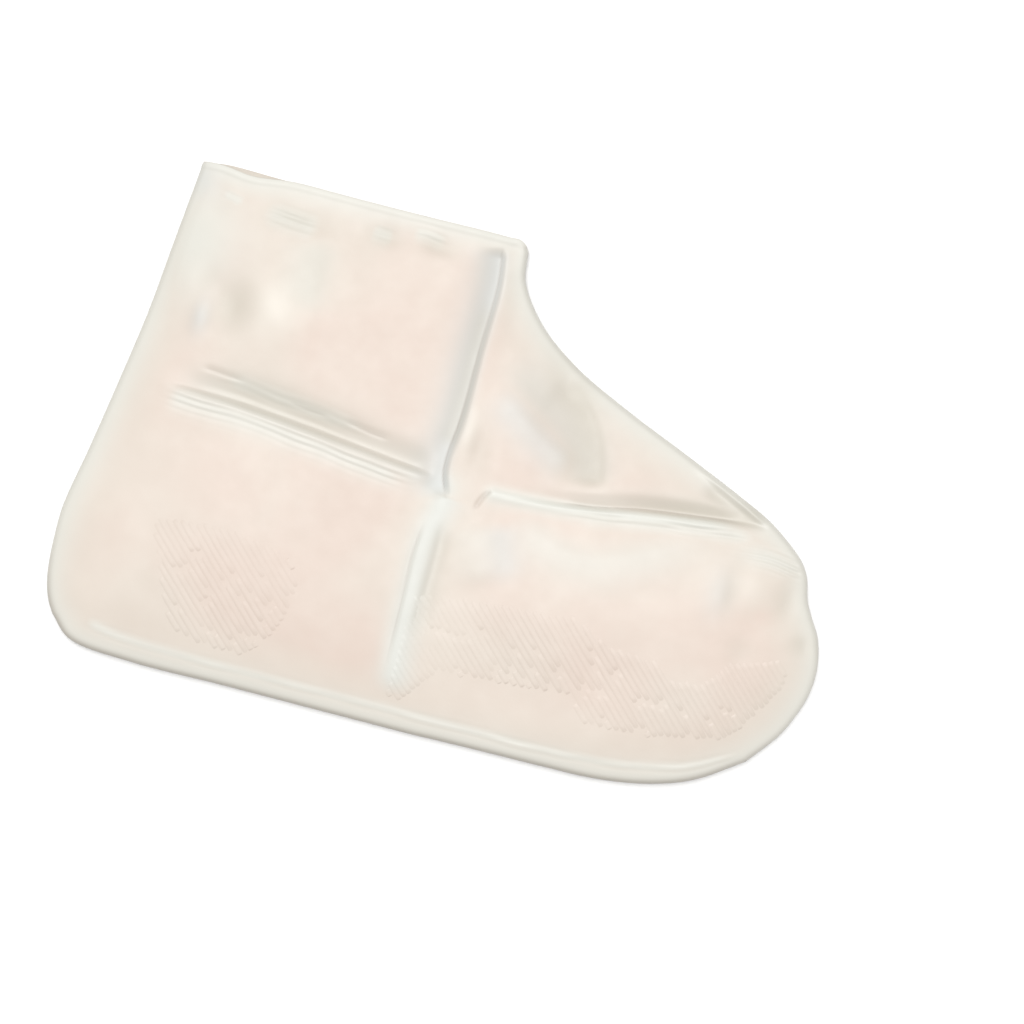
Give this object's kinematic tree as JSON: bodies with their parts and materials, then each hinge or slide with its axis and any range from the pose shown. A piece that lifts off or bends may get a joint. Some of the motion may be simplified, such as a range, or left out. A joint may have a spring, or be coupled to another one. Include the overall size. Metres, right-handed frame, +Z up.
{
  "type": "shoe cover",
  "caption": "Pull-on waterproof overshoe of dipped milky latex in one piece, with ankle shaft and moulded grip sole, lying flat on its side.",
  "frame": {"origin": "on the floor under the middle of the flat cover, the bottom centre of its box", "axes": "+X from heel to toe along the sole, +Y from the sole to the mouth, +Z up through the flattened thickness"},
  "size_m": [0.28, 0.1834, 0.0123],
  "materials": {
    "latex": "satin"
  },
  "bodies": {
    "root": {"cover_shell": "latex"}
  },
  "joints": []
}
